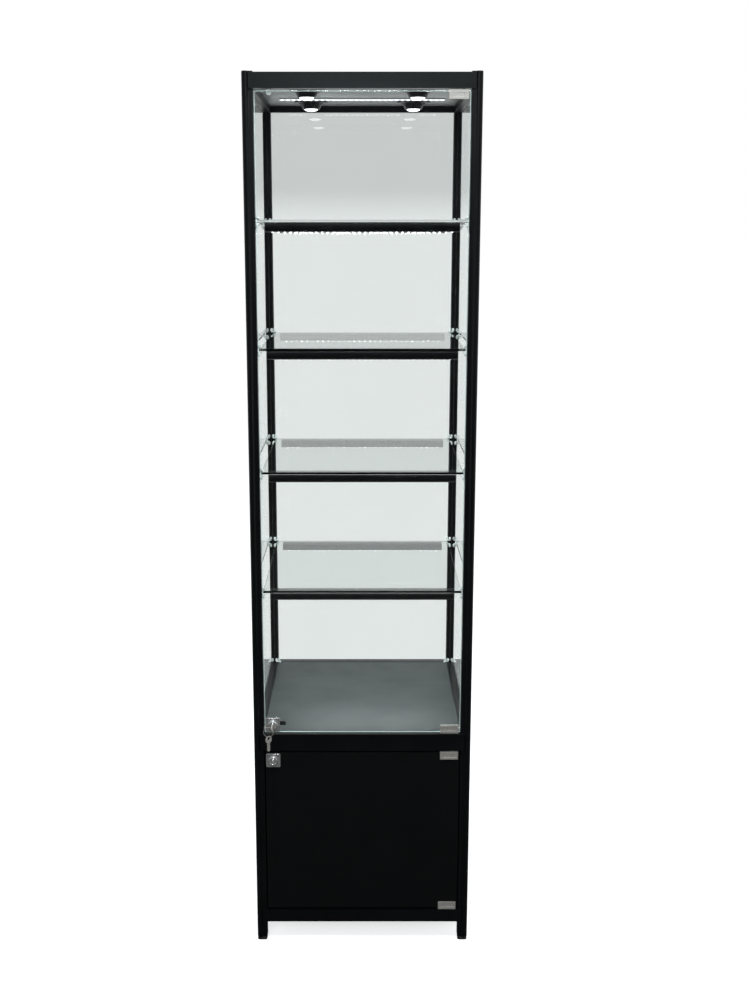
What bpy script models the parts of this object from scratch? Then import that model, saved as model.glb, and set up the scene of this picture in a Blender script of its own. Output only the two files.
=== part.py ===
"""Tall glazed display cabinet: four aluminium posts, three rings of rails, glass sides and back,
four lit glass shelves, an inset glass door above and a board door below, both on pivot clips.

Metres, +Z up. The front faces -Y. The origin is at the bottom centre of the whole object's box,
so the cabinet's own middle lies half a key's length behind it.
"""

from math import cos, pi, radians, sin

import bmesh
import bpy
from mathutils import Matrix, Vector

# Driving dimensions -------------------------------------------------------------------------
PLAN = 0.500
HEIGHT = 1.980
GAP = 0.0003
# How far joined shapes and cutters run into each other.
OVERLAP = 0.001
KEY_REACH = 0.0288
CENTRE_Y = KEY_REACH / 2
FRONT = CENTRE_Y - PLAN / 2
BACK = CENTRE_Y + PLAN / 2

POST = 0.0235
NOSE_RADIUS = 0.0085
NOSE_FLAT = 0.0105
FLANGE_STEP = 0.0035
GROOVE_START = 0.0100
GROOVE_END = 0.0146
GROOVE_DEPTH = 0.0060
POST_BORE = (0.0055, 0.0155)
POST_TOP_WALL = 0.0040
FOOT_HEIGHT = 0.006
FOOT_CORNER = 0.005

RAIL_WALL = 0.0016
RAIL_INSET = 0.0002
FASCIA = 0.0030
TOP_RAIL = (1.9450, 1.9775)
MIDDLE_RAIL = (0.4825, 0.5235)
BOTTOM_RAIL = (0.0480, 0.0780)

PANE = 0.0040
INSIDE = PLAN / 2 - POST

CEILING = (1.9600, 1.9773)
DECK = (0.5075, 0.5235)
STORAGE_FLOOR = (0.0620, 0.0780)

SHELF_TOPS = (1.6800, 1.4070, 1.1335, 0.8600)
SHELF_THICKNESS = 0.0055
SHELF_HALF = 0.2245
SHELF_SETBACK = 0.0245
PEG_RADIUS = 0.0022
PEG_REACH = 0.0120
PEG_ROOT = 0.0050
BAR_HALF_LENGTH = 0.208
BAR_HEIGHT = 0.0195
BAR_BEVEL = 0.0030
BAR_SHOULDER = 0.0035
BAR_CHIN = 0.0015
BAR_FACE = 0.0125
BAR_KEEL = 0.0120
BAR_DEPTH = 0.0260
BAR_SETBACK = 0.0015

LEAF_INSET = 0.0025
GLASS_LEAF = 0.0050
BOARD_LEAF = 0.0080
LEAF_LEFT = -0.2240
LEAF_RIGHT = 0.2245
LEAF_GAP = 0.0048
HINGE_X = 0.2100
CLIP_LEFT = 0.1795
CLIP_RIGHT = 0.2210
CLIP_HEIGHT = 0.0165
CLIP_WALL = 0.0022
PIN_RADIUS = 0.0030
PIN_ENTRY = 0.0040

LOCK_X = -0.2057
LOCK_SIDE = 0.0330
LOCK_CORNER = 0.0025
LOCK_FROM_EDGE = 0.0186
PLATE_PROUD = 0.0008
BOSS_RADIUS = 0.0115
BOSS_PROUD = 0.0078
BARREL_RADIUS = 0.0090
PLUG_RADIUS = 0.0060
CAM_REACH = 0.0300
CAM_WIDTH = 0.0100
CAM_THICKNESS = 0.0020
CAM_BEHIND_LEAF = 0.0033
SLOT_SIDE = 0.0235
CAM_SLOT_HALF = 0.003
SLOT_MARGIN = 0.0010
KEYWAY_HALF = 0.0043
KEYWAY_DEPTH = 0.0100

BOW_RADIUS = 0.0095
SPARE_HOLE_DROP = 0.0039
SPARE_HOLE_FROM_BOW = 0.0029
SPARE_BLADE_ENTRY = 0.0065
SPARE_HOLE_RADIUS = 0.0036
BOW_HOLE = 0.0040
KEY_THICKNESS = 0.0020
BLADE_HALF = 0.0040
BLADE_ENTRY = 0.0090
SPARE_BLADE_LENGTH = 0.0290
BOW_EDGE = 0.0023
RING_LEAN = 45.0
SPARE_KEY_TURN = 40.0
RING_RADIUS = 0.0115
RING_WIRE = 0.0008

LAMP_X = 0.121
LAMP_ROWS = {"front": 0.139, "rear": 0.374}
LAMP_RADIUS = 0.0262
LAMP_BELOW_PIVOT = 0.0205
LAMP_ABOVE_PIVOT = 0.0100
PIVOT_BELOW_CEILING = 0.0025
POCKET_RADIUS = 0.0305
POCKET_ROOF = 0.0040

LIGHT_BAR_FROM_FRONT = 0.318
LIGHT_BAR_HALF_LENGTH = 0.1925
LIGHT_BAR_HALF_WIDTH = 0.0050
LIGHT_BAR_DEPTH = 0.0045

STOP_X = -0.194
STOP_RADIUS = 0.0063
STOP_LENGTH = 0.0070
STEM_RADIUS = 0.0025

CABLE_HOLE = (-0.170, 0.130)
CABLE_HOLE_RADIUS = 0.012

DRIVER_HALF_LENGTH = 0.085
DRIVER_WIDTH = 0.045
DRIVER_HEIGHT = 0.030
DRIVER_FROM_BACK = 0.035

SEGMENTS = 24

MATERIALS = {
    "frame_black": ((0.020, 0.021, 0.023), 0.38, 0.85),
    "board_black": ((0.022, 0.022, 0.023), 0.60, 0.0),
    "door_black": ((0.024, 0.024, 0.025), 0.50, 0.0),
    "deck_grey": ((0.060, 0.065, 0.066), 0.50, 0.0),
    "ceiling_grey": ((0.320, 0.330, 0.330), 0.45, 0.0),
    "clear_glass": ((0.850, 0.920, 0.900), 0.03, 0.0),
    "shelf_glass": ((0.800, 0.900, 0.870), 0.03, 0.0),
    "chrome": ((0.780, 0.780, 0.780), 0.12, 1.0),
    "steel": ((0.560, 0.550, 0.530), 0.30, 1.0),
    "rubber": ((0.018, 0.018, 0.018), 0.80, 0.0),
    "lamp_black": ((0.015, 0.015, 0.016), 0.35, 0.0),
    "clear_plastic": ((0.800, 0.820, 0.820), 0.15, 0.0),
    "led_lens": ((0.950, 0.960, 0.970), 0.30, 0.0),
    "driver_white": ((0.720, 0.720, 0.700), 0.45, 0.0),
}


# Making and joining shapes ------------------------------------------------------------------
def clear_scene():
    for thing in list(bpy.data.objects):
        bpy.data.objects.remove(thing)


def make_material(name):
    colour, roughness, metallic = MATERIALS[name]
    material = bpy.data.materials.new(name)
    material.use_nodes = True
    shader = material.node_tree.nodes["Principled BSDF"]
    shader.inputs["Base Color"].default_value = (*colour, 1.0)
    shader.inputs["Roughness"].default_value = roughness
    shader.inputs["Metallic"].default_value = metallic
    material.diffuse_color = (*colour, 1.0)
    return material


def finish_shape(shape, name, smooth=False):
    """Turns a bmesh into an object in the scene, with its normals outwards."""
    bmesh.ops.recalc_face_normals(shape, faces=shape.faces)
    mesh = bpy.data.meshes.new(name)
    shape.to_mesh(mesh)
    shape.free()
    if smooth:
        mesh.shade_smooth()
        mesh.set_sharp_from_angle(angle=radians(35))
    thing = bpy.data.objects.new(name, mesh)
    bpy.context.scene.collection.objects.link(thing)
    return thing


# Which world axes an outline's two numbers run along, by the axis that it is extruded along.
OUTLINE_AXES = {"X": (1, 2, 0), "Y": (0, 2, 1), "Z": (0, 1, 2)}


def prism(name, outline, axis, low, high, smooth=False):
    """An outline of two-number points, extruded along a world axis from low to high."""
    first, second, along = OUTLINE_AXES[axis]
    shape = bmesh.new()
    corners = []
    for point in outline:
        place = [0.0, 0.0, 0.0]
        place[first], place[second], place[along] = point[0], point[1], low
        corners.append(shape.verts.new(place))
    face = shape.faces.new(corners)
    grown = bmesh.ops.extrude_face_region(shape, geom=[face])["geom"]
    step = [0.0, 0.0, 0.0]
    step[along] = high - low
    moved = [part for part in grown if isinstance(part, bmesh.types.BMVert)]
    bmesh.ops.translate(shape, verts=moved, vec=step)
    return finish_shape(shape, name, smooth)


def block(name, low, high):
    outline = [(low[0], low[1]), (high[0], low[1]), (high[0], high[1]), (low[0], high[1])]
    return prism(name, outline, "Z", low[2], high[2])


def circle(centre, radius, segments=SEGMENTS):
    turns = [2 * pi * (step + 0.5) / segments for step in range(segments)]
    return [(centre[0] + radius * cos(turn), centre[1] + radius * sin(turn)) for turn in turns]


def rounded_square(centre, side, radius, steps=3):
    """An outline of a square with round corners, turned counter-clockwise."""
    points = []
    reach = side / 2 - radius
    for quarter, (sign_a, sign_b) in enumerate(((1, 1), (-1, 1), (-1, -1), (1, -1))):
        for step in range(steps + 1):
            turn = (quarter + step / steps) * pi / 2
            across = centre[0] + sign_a * reach + radius * cos(turn)
            upward = centre[1] + sign_b * reach + radius * sin(turn)
            points.append((across, upward))
    return points


def lathe(name, profile, centre):
    """Turns a closed outline of (radius, height) about a vertical axis; radius 0 closes the shape."""
    shape = bmesh.new()
    rings = []
    for radius, height in profile:
        if radius == 0:
            rings.append([shape.verts.new((centre[0], centre[1], height))] * SEGMENTS)
            continue
        places = circle(centre, radius)
        rings.append([shape.verts.new((x, y, height)) for x, y in places])
    hollow = profile[0][0] > 0
    last = len(rings) if hollow else len(rings) - 1
    for index in range(last):
        upper, lower = rings[index], rings[(index + 1) % len(rings)]
        for step in range(SEGMENTS):
            beside = (step + 1) % SEGMENTS
            corners = [upper[step], upper[beside], lower[beside], lower[step]]
            shape.faces.new(list(dict.fromkeys(corners)))
    return finish_shape(shape, name, smooth=True)


def hide_helper(helper):
    helper.hide_render = True
    helper.display_type = "WIRE"


def combine(body, helper, operation):
    modifier = body.modifiers.new(helper.name, "BOOLEAN")
    modifier.operation = operation
    modifier.object = helper
    hide_helper(helper)


def cut(body, helper):
    combine(body, helper, "DIFFERENCE")


def unite(body, helper):
    combine(body, helper, "UNION")


def give(thing, material, parent=None):
    """Sets a piece's material, and its parent without moving it."""
    thing.data.materials.append(bpy.data.materials[material])
    if parent is not None:
        thing.parent = parent
        thing.matrix_parent_inverse = Matrix.Translation(-parent.location)
    return thing


def joint_axis(name, place):
    """An empty on a joint's axis, which the moving pieces hang from."""
    empty = bpy.data.objects.new(name, None)
    empty.location = place
    bpy.context.scene.collection.objects.link(empty)
    return empty


def turn_to_side(thing, quarter):
    """Turns a piece that was built at the front to another side, about the cabinet's middle."""
    middle = Matrix.Translation((0, CENTRE_Y, 0))
    turn = middle @ Matrix.Rotation(quarter * pi / 2, 4, "Z") @ middle.inverted()
    thing.matrix_world = turn


# Frame --------------------------------------------------------------------------------------
def post_outline():
    """Section of the front left post: round nose, bevelled step to two flanges, two pane grooves."""
    bottom = POST - GROOVE_DEPTH
    half = [
        (NOSE_FLAT, 0.0),
        (NOSE_FLAT + FLANGE_STEP, FLANGE_STEP),
        (POST, FLANGE_STEP),
        (POST, GROOVE_START),
        (bottom, GROOVE_START),
        (bottom, GROOVE_END),
        (POST, GROOVE_END),
    ]
    steps = 5
    nose = []
    for step in range(steps + 1):
        turn = pi + step / steps * pi / 2
        nose.append((NOSE_RADIUS * (1 + cos(turn)), NOSE_RADIUS * (1 + sin(turn))))
    mirrored = [(across, along) for along, across in reversed(half)]
    section = nose + half + [(POST, POST)] + mirrored
    return [(-PLAN / 2 + across, FRONT + along) for across, along in section]


def make_post(name, quarter):
    """A hollow post, closed at the top, with a peg under each shelf on its inner corner."""
    post = prism(name, post_outline(), "Z", FOOT_HEIGHT + GAP, HEIGHT, smooth=True)
    low, high = POST_BORE
    bore_low = (-PLAN / 2 + low, FRONT + low, 0.0)
    bore_high = (-PLAN / 2 + high, FRONT + high, HEIGHT - POST_TOP_WALL)
    bore = block(name + ".bore", bore_low, bore_high)
    cut(post, bore)
    helpers = [bore]
    for number, top in enumerate(SHELF_TOPS, 1):
        height = top - SHELF_THICKNESS - GAP - PEG_RADIUS
        peg = prism(f"{name}.peg{number}", circle((0, 0), PEG_RADIUS, 8), "X", -PEG_ROOT, PEG_REACH)
        corner = Matrix.Translation((-INSIDE, FRONT + POST, height))
        peg.data.transform(corner @ Matrix.Rotation(pi / 4, 4, "Z"))
        unite(post, peg)
        helpers.append(peg)
    for piece in (post, *helpers):
        turn_to_side(piece, quarter)
    give(post, "frame_black")


def make_foot(name, quarter):
    centre = (-PLAN / 2 + POST / 2, FRONT + POST / 2)
    outline = rounded_square(centre, POST - OVERLAP, FOOT_CORNER)
    foot = prism(name, outline, "Z", 0.0, FOOT_HEIGHT, smooth=True)
    turn_to_side(foot, quarter)
    give(foot, "rubber")


def make_rail(name, quarter, span, cutters=()):
    """A hollow rail between two posts, whose outer wall runs on over the posts' flanges."""
    inner = INSIDE - GAP
    outer = PLAN / 2 - NOSE_FLAT - FLANGE_STEP - GAP
    face, step, rear = FRONT + RAIL_INSET, FRONT + RAIL_INSET + FASCIA, FRONT + POST - RAIL_INSET
    outline = [
        (-outer, face),
        (outer, face),
        (outer, step),
        (inner, step),
        (inner, rear),
        (-inner, rear),
        (-inner, step),
        (-outer, step),
    ]
    rail = prism(name, outline, "Z", span[0], span[1])
    low = (-PLAN / 2, step, span[0] + RAIL_WALL)
    high = (PLAN / 2, rear - RAIL_WALL, span[1] - RAIL_WALL)
    hollow = block(name + ".hollow", low, high)
    cut(rail, hollow)
    for cutter in cutters:
        cut(rail, cutter)
    for piece in (rail, hollow, *cutters):
        turn_to_side(piece, quarter)
    give(rail, "frame_black")


def pin_hole(name, axis_y, height):
    places = circle((HINGE_X, axis_y), PIN_RADIUS + GAP, 16)
    depth = PIN_ENTRY + OVERLAP
    return prism(name, places, "Z", height - depth, height + depth)


def cam_slot(name, cam_y, height):
    """The slot in a rail's wall that a turned cam dips into."""
    low_x = LOCK_X - CAM_WIDTH / 2 - SLOT_MARGIN
    low = (low_x, cam_y - SLOT_MARGIN, height - CAM_SLOT_HALF)
    high = (LOCK_X + SLOT_SIDE, cam_y + CAM_THICKNESS + SLOT_MARGIN, height + CAM_SLOT_HALF)
    return block(name, low, high)


def make_frame():
    corners = ("front_left", "front_right", "back_right", "back_left")
    for quarter, corner in enumerate(corners):
        make_post("post_" + corner, quarter)
        make_foot("foot_" + corner, quarter)
    sides = ("front", "right", "back", "left")
    levels = {"top": TOP_RAIL, "middle": MIDDLE_RAIL, "bottom": BOTTOM_RAIL}
    glass_y = leaf_middle(GLASS_LEAF)
    board_y = leaf_middle(BOARD_LEAF)
    front_cutters = {
        "top": [pin_hole("top_pin_hole", glass_y, TOP_RAIL[0])],
        "middle": [
            pin_hole("glass_pin_hole", glass_y, MIDDLE_RAIL[1]),
            pin_hole("board_pin_hole", board_y, MIDDLE_RAIL[0]),
            cam_slot("glass_cam_slot", cam_front(GLASS_LEAF), MIDDLE_RAIL[1]),
            cam_slot("board_cam_slot", cam_front(BOARD_LEAF), MIDDLE_RAIL[0]),
        ],
        "bottom": [pin_hole("bottom_pin_hole", board_y, BOTTOM_RAIL[1])],
    }
    for level, span in levels.items():
        for quarter, side in enumerate(sides):
            cutters = front_cutters[level] if side == "front" else ()
            make_rail(f"{level}_rail_{side}", quarter, span, cutters)


# Panes, panels and boards -------------------------------------------------------------------
def make_pane(name, quarter, span, material):
    """A sheet in the grooves of two posts, between the rail below it and the rail above."""
    half = INSIDE + GROOVE_DEPTH - 2 * GAP
    face = FRONT + GROOVE_START + GAP
    pane = block(name, (-half, face, span[0] + GAP), (half, face + PANE, span[1] - GAP))
    turn_to_side(pane, quarter)
    return give(pane, material)


def make_panes():
    upper = (MIDDLE_RAIL[1], TOP_RAIL[0])
    lower = (BOTTOM_RAIL[1], MIDDLE_RAIL[0])
    for quarter, side in enumerate(("right", "back", "left"), 1):
        make_pane(side + "_glass", quarter, upper, "clear_glass")
        panel = make_pane(side + "_panel", quarter, lower, "board_black")
        if side == "back":
            hole = prism("cable_hole", circle(CABLE_HOLE, CABLE_HOLE_RADIUS, 16), "Y", BACK - POST, BACK)
            cut(panel, hole)


def make_board(name, span, material):
    half = INSIDE - GAP
    low = (-half, CENTRE_Y - half, span[0])
    return give(block(name, low, (half, CENTRE_Y + half, span[1])), material)


def make_boards():
    make_board("deck_board", DECK, "deck_grey")
    make_board("storage_floor", STORAGE_FLOOR, "board_black")
    ceiling = make_board("ceiling_board", CEILING, "ceiling_grey")
    for place, centre in lamp_places().items():
        outline = circle(centre, POCKET_RADIUS)
        pocket = prism("pocket_" + place, outline, "Z", CEILING[0] - OVERLAP, CEILING[1] - POCKET_ROOF)
        cut(ceiling, pocket)


# Shelves ------------------------------------------------------------------------------------
def bar_outline(front, ceiling, sign):
    """Section of a light bar: bevelled top edge, upright face, and an underside that slopes in."""
    section = [
        (BAR_BEVEL, 0.0),
        (0.0, -BAR_SHOULDER),
        (BAR_CHIN, -BAR_FACE),
        (BAR_KEEL, -BAR_HEIGHT),
        (BAR_DEPTH, -BAR_HEIGHT + BAR_SHOULDER),
        (BAR_DEPTH, 0.0),
    ]
    return [(front + sign * along, ceiling + down) for along, down in section]


def make_shelves():
    front = FRONT + SHELF_SETBACK
    back = BACK - SHELF_SETBACK
    for number, top in enumerate(SHELF_TOPS, 1):
        under = top - SHELF_THICKNESS
        shelf = block(f"shelf_{number}", (-SHELF_HALF, front, under), (SHELF_HALF, back, top))
        give(shelf, "shelf_glass")
        for place, edge, sign in (("front", front, 1), ("rear", back, -1)):
            outline = bar_outline(edge + sign * BAR_SETBACK, under - GAP, sign)
            name = f"shelf_{number}_{place}_light_bar"
            give(prism(name, outline, "X", -BAR_HALF_LENGTH, BAR_HALF_LENGTH), "frame_black")


# Doors --------------------------------------------------------------------------------------
def leaf_middle(thickness):
    return FRONT + LEAF_INSET + thickness / 2


def cam_front(thickness):
    """The front of the cam, just behind the lock barrel's rear end."""
    return FRONT + LEAF_INSET + thickness + CAM_BEHIND_LEAF


def make_leaf(name, span, thickness, lock_z, material, parent):
    low = (LEAF_LEFT, FRONT + LEAF_INSET, span[0])
    leaf = block(name, low, (LEAF_RIGHT, FRONT + LEAF_INSET + thickness, span[1]))
    outline = circle((LOCK_X, lock_z), BARREL_RADIUS + 2 * GAP)
    cut(leaf, prism(name + ".lock_hole", outline, "Y", FRONT, FRONT + 0.02))
    give(leaf, material, parent)


def make_clip(name, edge, thickness, upward, parent):
    """A pivot clip round the leaf's edge, with a pin into the rail. upward is 1 at the top, -1 below."""
    near = FRONT + GAP
    face = FRONT + LEAF_INSET - GAP
    rear_face = FRONT + LEAF_INSET + thickness + GAP
    base = edge + upward * GAP
    tip = edge - upward * CLIP_HEIGHT
    outer = base + upward * CLIP_WALL
    outline = [
        (near, tip),
        (face, tip),
        (face, base),
        (rear_face, base),
        (rear_face, tip),
        (rear_face + CLIP_WALL, tip),
        (rear_face + CLIP_WALL, outer),
        (near, outer),
    ]
    clip = prism(name, outline, "X", CLIP_LEFT, CLIP_RIGHT)
    low, high = sorted((base + upward * OVERLAP, outer + upward * (LEAF_GAP - CLIP_WALL + PIN_ENTRY)))
    places = circle((HINGE_X, leaf_middle(thickness)), PIN_RADIUS, 16)
    unite(clip, prism(name + ".pin", places, "Z", low, high))
    give(clip, "steel", parent)


def make_lock(name, lock_z, thickness, parent):
    """A square plate with a round boss and a barrel through the leaf, bored for the plug."""
    face = FRONT - PLATE_PROUD
    rear = FRONT + LEAF_INSET - GAP
    centre = (LOCK_X, lock_z)
    plate = prism(name, rounded_square(centre, LOCK_SIDE, LOCK_CORNER), "Y", face, rear)
    boss = prism(name + ".boss", circle(centre, BOSS_RADIUS), "Y", FRONT - BOSS_PROUD, rear - OVERLAP)
    barrel_end = cam_front(thickness) - GAP
    barrel = prism(name + ".barrel", circle(centre, BARREL_RADIUS), "Y", rear - 2 * OVERLAP, barrel_end)
    bore = prism(name + ".bore", circle(centre, PLUG_RADIUS + GAP), "Y", FRONT - 0.02, FRONT + 0.03)
    unite(plate, boss)
    unite(plate, barrel)
    cut(plate, bore)
    give(plate, "chrome", parent)


def make_plug(name, lock_z, thickness, parent):
    """The turning plug, with its keyway in front and its cam behind, which points right at rest."""
    centre = (LOCK_X, lock_z)
    cam_low = cam_front(thickness)
    plug_front = FRONT - BOSS_PROUD + 0.0004
    plug = prism(name, circle(centre, PLUG_RADIUS), "Y", plug_front, cam_low + CAM_THICKNESS + OVERLAP)
    low = (LOCK_X - CAM_WIDTH / 2, cam_low, lock_z - CAM_WIDTH / 2)
    high = (LOCK_X + CAM_REACH, cam_low + CAM_THICKNESS, lock_z + CAM_WIDTH / 2)
    unite(plug, block(name + ".cam", low, high))
    low = (LOCK_X - KEY_THICKNESS / 2 - GAP, plug_front - 2 * OVERLAP, lock_z - KEYWAY_HALF)
    high = (LOCK_X + KEY_THICKNESS / 2 + GAP, plug_front + KEYWAY_DEPTH, lock_z + KEYWAY_HALF)
    cut(plug, block(name + ".keyway", low, high))
    give(plug, "chrome", parent)


def make_key(lock_z, parent):
    """The key in the glass door's lock: a blade in the keyway and a round bow with a large hole."""
    tip = FRONT - KEY_REACH
    bow_y = tip + BOW_RADIUS
    low_x, high_x = LOCK_X - KEY_THICKNESS / 2, LOCK_X + KEY_THICKNESS / 2
    key = prism("key_in_lock", circle((bow_y, lock_z), BOW_RADIUS), "X", low_x, high_x)
    low = (low_x + GAP, tip + 2 * BOW_RADIUS - 2 * OVERLAP, lock_z - BLADE_HALF)
    high = (high_x - GAP, FRONT - BOSS_PROUD + BLADE_ENTRY, lock_z + BLADE_HALF)
    blade = block("key.blade", low, high)
    unite(key, blade)
    hole = circle((ring_hole_y(), lock_z), BOW_HOLE, 16)
    cut(key, prism("key.hole", hole, "X", low_x - OVERLAP, high_x + OVERLAP))
    give(key, "steel", parent)


def ring_hole_y():
    return FRONT - KEY_REACH + BOW_HOLE + BOW_EDGE


def torus(name, centre, radius, wire, around=28, across=6):
    """A ring of round wire that stands upright, facing the front."""
    shape = bmesh.new()
    rings = []
    for step in range(around):
        turn = 2 * pi * step / around
        outward = Vector((cos(turn), 0, sin(turn)))
        ring = []
        for side in range(across):
            lift = 2 * pi * side / across
            place = centre + outward * (radius + wire * cos(lift))
            ring.append(shape.verts.new(place + Vector((0, wire * sin(lift), 0))))
        rings.append(ring)
    for step, ring in enumerate(rings):
        beside = rings[(step + 1) % around]
        for side in range(across):
            other = (side + 1) % across
            shape.faces.new((ring[side], ring[other], beside[other], beside[side]))
    return finish_shape(shape, name, smooth=True)


def make_hanging_key(lock_z, parent):
    """A split ring through the bow's hole, with the second key hanging from it."""
    lean = RING_RADIUS * cos(radians(RING_LEAN))
    centre = Vector((LOCK_X - lean, ring_hole_y(), lock_z - lean))
    half = KEY_THICKNESS / 2
    hole_z = -RING_RADIUS - SPARE_HOLE_DROP
    bow_z = hole_z - SPARE_HOLE_FROM_BOW
    hanging = prism("hanging_key", circle((0, bow_z), BOW_RADIUS - OVERLAP), "Y", -half, half)
    low = (-BLADE_HALF, GAP - half, bow_z - SPARE_BLADE_LENGTH)
    high = (BLADE_HALF, half - GAP, bow_z - SPARE_BLADE_ENTRY)
    blade = block("hanging.blade", low, high)
    hole_outline = circle((0, hole_z), SPARE_HOLE_RADIUS, 16)
    hole = prism("hanging.hole", hole_outline, "Y", -half - OVERLAP, half + OVERLAP)
    for piece in (hanging, blade, hole):
        piece.data.transform(Matrix.Translation(centre) @ Matrix.Rotation(radians(SPARE_KEY_TURN), 4, "Z"))
    unite(hanging, blade)
    cut(hanging, hole)
    unite(hanging, torus("hanging.ring", centre, RING_RADIUS, RING_WIRE))
    give(hanging, "steel", parent)


def make_doors():
    glass_span = (MIDDLE_RAIL[1] + LEAF_GAP, TOP_RAIL[0] - LEAF_GAP)
    glass_lock_z = glass_span[0] + LOCK_FROM_EDGE
    glass_axis = joint_axis("glass_door_axis", (HINGE_X, leaf_middle(GLASS_LEAF), glass_span[0]))
    make_leaf("glass_door", glass_span, GLASS_LEAF, glass_lock_z, "clear_glass", glass_axis)
    make_clip("glass_door_clip_top", glass_span[1], GLASS_LEAF, 1, glass_axis)
    make_clip("glass_door_clip_bottom", glass_span[0], GLASS_LEAF, -1, glass_axis)
    make_lock("glass_door_lock", glass_lock_z, GLASS_LEAF, glass_axis)
    plug_axis = joint_axis("glass_plug_axis", (LOCK_X, FRONT, glass_lock_z))
    make_plug("glass_door_lock_plug", glass_lock_z, GLASS_LEAF, plug_axis)
    make_key(glass_lock_z, plug_axis)
    ring_axis = joint_axis("ring_axis", (LOCK_X, ring_hole_y(), glass_lock_z))
    make_hanging_key(glass_lock_z, ring_axis)

    board_span = (BOTTOM_RAIL[1] + LEAF_GAP, MIDDLE_RAIL[0] - LEAF_GAP)
    board_lock_z = board_span[1] - LOCK_FROM_EDGE
    board_axis = joint_axis("storage_door_axis", (HINGE_X, leaf_middle(BOARD_LEAF), board_span[0]))
    make_leaf("storage_door", board_span, BOARD_LEAF, board_lock_z, "door_black", board_axis)
    make_clip("storage_door_clip_top", board_span[1], BOARD_LEAF, 1, board_axis)
    make_clip("storage_door_clip_bottom", board_span[0], BOARD_LEAF, -1, board_axis)
    make_lock("storage_door_lock", board_lock_z, BOARD_LEAF, board_axis)
    plug_axis = joint_axis("storage_plug_axis", (LOCK_X, FRONT, board_lock_z))
    make_plug("storage_door_lock_plug", board_lock_z, BOARD_LEAF, plug_axis)


# Lights and small fittings ------------------------------------------------------------------
def lamp_places():
    """Each downlight's name and its centre in plan."""
    places = {}
    for row, from_front in LAMP_ROWS.items():
        for side, sign in (("left", -1), ("right", 1)):
            places[f"{row}_{side}"] = (sign * LAMP_X, FRONT + from_front)
    return places


def make_lamps():
    """Four tilting downlights: a dome in the ceiling's pocket and a cone with its lens below."""
    pivot = CEILING[0] - GAP - PIVOT_BELOW_CEILING
    bottom = pivot - LAMP_BELOW_PIVOT
    profile = [
        (0, pivot + LAMP_ABOVE_PIVOT),
        (0.0200, pivot + LAMP_ABOVE_PIVOT),
        (LAMP_RADIUS, pivot),
        (LAMP_RADIUS - 0.0014, pivot - 0.0060),
        (0.0195, bottom + 0.0050),
        (0.0165, bottom + 0.0040),
        (0.0110, bottom + 0.0012),
        (0, bottom),
    ]
    for place, centre in lamp_places().items():
        axis = joint_axis("lamp_axis_" + place, (*centre, pivot))
        give(lathe("lamp_" + place, profile, centre), "lamp_black", axis)


def make_ceiling_light_bar():
    middle = FRONT + LIGHT_BAR_FROM_FRONT
    roof = CEILING[0] - GAP
    shoulder = roof - LIGHT_BAR_DEPTH / 2
    outline = [
        (middle - LIGHT_BAR_HALF_WIDTH, roof),
        (middle - LIGHT_BAR_HALF_WIDTH, shoulder),
        (middle - LIGHT_BAR_HALF_WIDTH / 2, roof - LIGHT_BAR_DEPTH),
        (middle + LIGHT_BAR_HALF_WIDTH / 2, roof - LIGHT_BAR_DEPTH),
        (middle + LIGHT_BAR_HALF_WIDTH, shoulder),
        (middle + LIGHT_BAR_HALF_WIDTH, roof),
    ]
    bar = prism("ceiling_light_bar", outline, "X", -LIGHT_BAR_HALF_LENGTH, LIGHT_BAR_HALF_LENGTH)
    give(bar, "led_lens")


def make_door_stop():
    """A round bumper behind the glass door's top edge, on a stem from the rail above."""
    centre_z = TOP_RAIL[0] - STOP_RADIUS - 0.0005
    face = FRONT + LEAF_INSET + GLASS_LEAF + GAP
    outline = circle((STOP_X, centre_z), STOP_RADIUS, 16)
    stop = prism("door_stop", outline, "Y", face, face + STOP_LENGTH, smooth=True)
    stem = circle((STOP_X, face + STOP_LENGTH / 2), STEM_RADIUS, 8)
    unite(stop, prism("door_stop.stem", stem, "Z", centre_z, TOP_RAIL[0] - GAP))
    give(stop, "clear_plastic")


def make_led_driver():
    """The light's power supply, under the deck at the back of the storage space."""
    top = DECK[0] - GAP
    rear = BACK - DRIVER_FROM_BACK
    low = (-DRIVER_HALF_LENGTH, rear - DRIVER_WIDTH, top - DRIVER_HEIGHT)
    driver = block("led_driver", low, (DRIVER_HALF_LENGTH, rear, top))
    bevel = driver.modifiers.new("edges", "BEVEL")
    bevel.width = 0.002
    bevel.segments = 2
    give(driver, "driver_white")


clear_scene()
for material_name in MATERIALS:
    make_material(material_name)
make_frame()
make_panes()
make_boards()
make_shelves()
make_doors()
make_lamps()
make_ceiling_light_bar()
make_door_stop()
make_led_driver()
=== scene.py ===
"""Looks of the tall glazed display cabinet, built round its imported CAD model.

Metres, +Z up, the doors facing -Y. Every piece is made in the row frame, in place, and rides on a body.
"""

from math import cos, pi, radians, sin

import bmesh
import bpy
from mathutils import Matrix, Vector


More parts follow.
